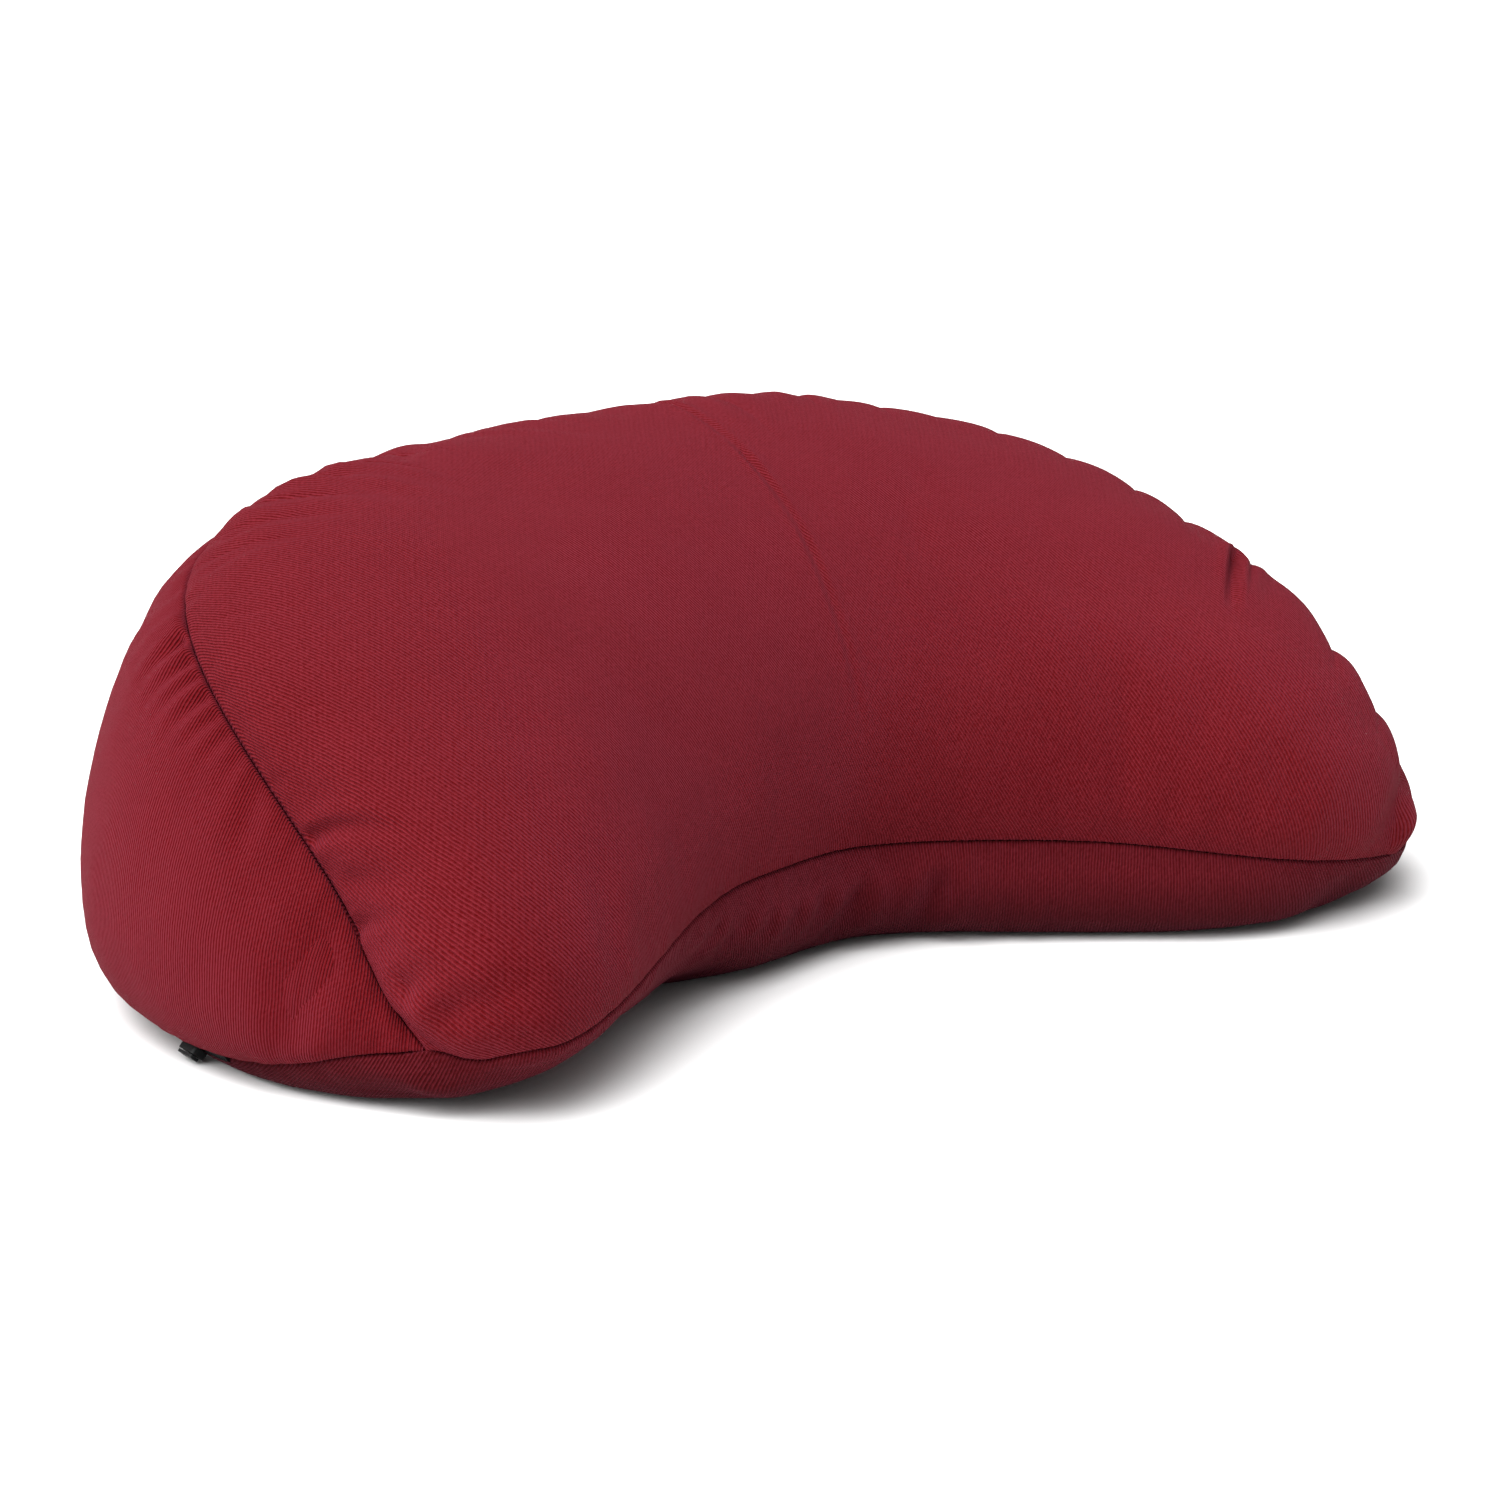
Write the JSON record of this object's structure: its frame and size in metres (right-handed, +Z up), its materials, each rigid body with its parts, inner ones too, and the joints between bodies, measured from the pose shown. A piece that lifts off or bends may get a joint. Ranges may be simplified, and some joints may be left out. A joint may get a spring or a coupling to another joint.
{
  "type": "crescent meditation cushion",
  "caption": "Filled crescent-shaped floor cushion in burgundy cotton twill, with a crowned and pleated top, a side band, a flat underside and a zip in its base seam.",
  "frame": {"origin": "middle of the part's footprint on the surface it rests on", "axes": "+X from the left horn to the right horn, +Y from the notch to the round back, +Z up"},
  "size_m": [0.4504, 0.2856, 0.1574],
  "materials": {
    "top_twill": "burgundy cotton twill with fine diagonal ribs and a soft nap",
    "band_twill": "burgundy cotton twill, its ribs steeper than on the top panel",
    "bottom_twill": "burgundy cotton twill, its ribs nearly upright on the rising edge",
    "zip_tape": "black woven tape with black nylon coil teeth",
    "zip_metal": "black lacquered metal with worn edges"
  },
  "bodies": {
    "root": {"filled_top_panel": "top_twill", "side_band": "band_twill", "bottom_panel": "bottom_twill", "zip_chain": "zip_tape", "zip_slider": "zip_metal", "zip_pull": "zip_metal"}
  },
  "joints": []
}
